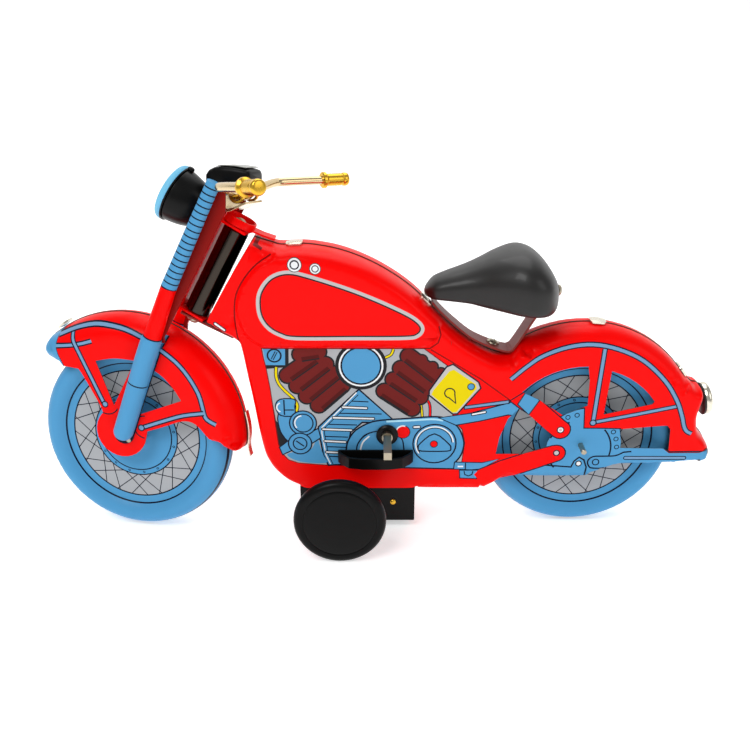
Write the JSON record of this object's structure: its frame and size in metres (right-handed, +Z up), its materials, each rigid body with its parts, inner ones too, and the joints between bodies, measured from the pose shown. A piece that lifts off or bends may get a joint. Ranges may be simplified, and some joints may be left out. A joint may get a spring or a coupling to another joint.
{
  "type": "tin wind-up motorcycle",
  "caption": "Pressed-tin toy motorcycle with a steered fork, spoked disc wheels, a moulded saddle and a clockwork motor driving outrigger wheels.",
  "frame": {"origin": "on the ground in the body's middle plane, half way along the toy", "axes": "+X points to the tail, -Y to the winding shaft's side, +Z up; the fork stands turned 12 degrees to the toy's right"},
  "size_m": [0.2434, 0.0835, 0.1351],
  "materials": {
    "red_tin": "glossy printed enamel",
    "maroon_tin": "semi-gloss enamel",
    "blue_tin": "glossy printed enamel",
    "black_tin": "glossy enamel",
    "white_tin": "glossy printed enamel",
    "black_plastic": "glossy moulded",
    "chrome": "polished",
    "steel": "bright plated",
    "spring_steel": "blued",
    "brass": "polished"
  },
  "bodies": {
    "root": {"body_shell_left": "red_tin", "body_shell_right": "red_tin", "saddle": "black_plastic", "saddle_rivet": "steel", "seat_bracket": "maroon_tin", "seat_screw": "steel", "tail_gasket": "black_plastic", "tail_lamp": "chrome", "tank_tab_front": "steel", "tank_tab_rear": "steel", "fender_tab_top": "steel", "fender_tab_rear": "steel", "head_bracket_top": "red_tin", "head_bracket_bottom": "maroon_tin", "steering_pin": "steel", "motor_plate_left": "steel", "motor_plate_right": "steel", "motor_pillar_front": "steel", "motor_pillar_rear": "steel", "motor_pillar_top": "steel", "spring_pillar": "steel", "motor_cover": "black_tin", "cover_rivet_left": "brass", "cover_rivet_right": "brass", "shaft_bush": "black_plastic", "mainspring": "spring_steel", "footrest_left": "black_tin", "footrest_right": "black_tin"},
    "fork": {"fork_side_left": "red_tin", "fork_side_right": "red_tin", "fork_yoke": "red_tin", "steering_tube": "chrome", "front_tab_nose": "steel", "front_tab_tail": "steel", "headlamp_shell": "black_tin", "headlamp_rim": "blue_tin", "headlamp_lens": "white_tin", "instrument_cowl": "black_tin", "handlebar": "chrome", "handlebar_bracket": "chrome", "ferrule_left": "brass", "ferrule_right": "brass", "grip_left": "brass", "grip_right": "brass"},
    "front_wheel": {"front_wheel_left": "blue_tin", "front_wheel_right": "blue_tin", "front_axle": "steel"},
    "rear_wheel": {"rear_wheel_left": "blue_tin", "rear_wheel_right": "blue_tin", "rear_axle": "steel"},
    "drive_shaft": {"drive_axle": "steel", "drive_pinion": "steel", "drive_wheel_left": "black_plastic", "drive_wheel_right": "black_plastic"},
    "middle_shaft": {"middle_pinion": "steel", "middle_gear": "brass"},
    "great_wheel": {"great_gear": "brass"},
    "click_lever": {"click": "steel"},
    "winding_shaft": {"winding_arbor": "steel", "ratchet_wheel": "steel"}
  },
  "joints": [
    {"name": "steering", "type": "hinge", "parent": "root", "child": "fork", "pos_m": [-0.0527, 0, 0.09825], "axis": [0.4772, 0, 0.8788], "range_deg": [-18, 42]},
    {"name": "front_wheel_spin", "type": "hinge", "parent": "fork", "child": "front_wheel", "pos_m": [-0.08621, -0.0001, 0.03551], "axis": [0.1827, 0.9781, -0.0992], "continuous": true},
    {"name": "rear_wheel_spin", "type": "hinge", "parent": "root", "child": "rear_wheel", "pos_m": [0.0733, 0, 0.0349], "axis": [0, 1, 0], "continuous": true},
    {"name": "drive_spin", "type": "hinge", "parent": "root", "child": "drive_shaft", "pos_m": [-0.0121, 0, 0.0159], "axis": [0, 1, 0], "continuous": true},
    {"name": "middle_spin", "type": "hinge", "parent": "root", "child": "middle_shaft", "pos_m": [-0.01222, 0, 0.0311], "axis": [0, 1, 0], "continuous": true},
    {"name": "great_wheel_spin", "type": "hinge", "parent": "root", "child": "great_wheel", "pos_m": [0.0043, 0, 0.0392], "axis": [0, 1, 0], "continuous": true},
    {"name": "winding", "type": "hinge", "parent": "great_wheel", "child": "winding_shaft", "pos_m": [0.0043, 0, 0.0392], "axis": [0, 1, 0], "continuous": true},
    {"name": "click_lift", "type": "hinge", "parent": "great_wheel", "child": "click_lever", "pos_m": [0.0125, 0, 0.0438], "axis": [0, 1, 0], "range_deg": [0, 12]}
  ],
  "couplings": [
    {"joint": "middle_spin", "follows": "drive_spin", "ratio": -0.35714},
    {"joint": "great_wheel_spin", "follows": "drive_spin", "ratio": 0.099206}
  ]
}
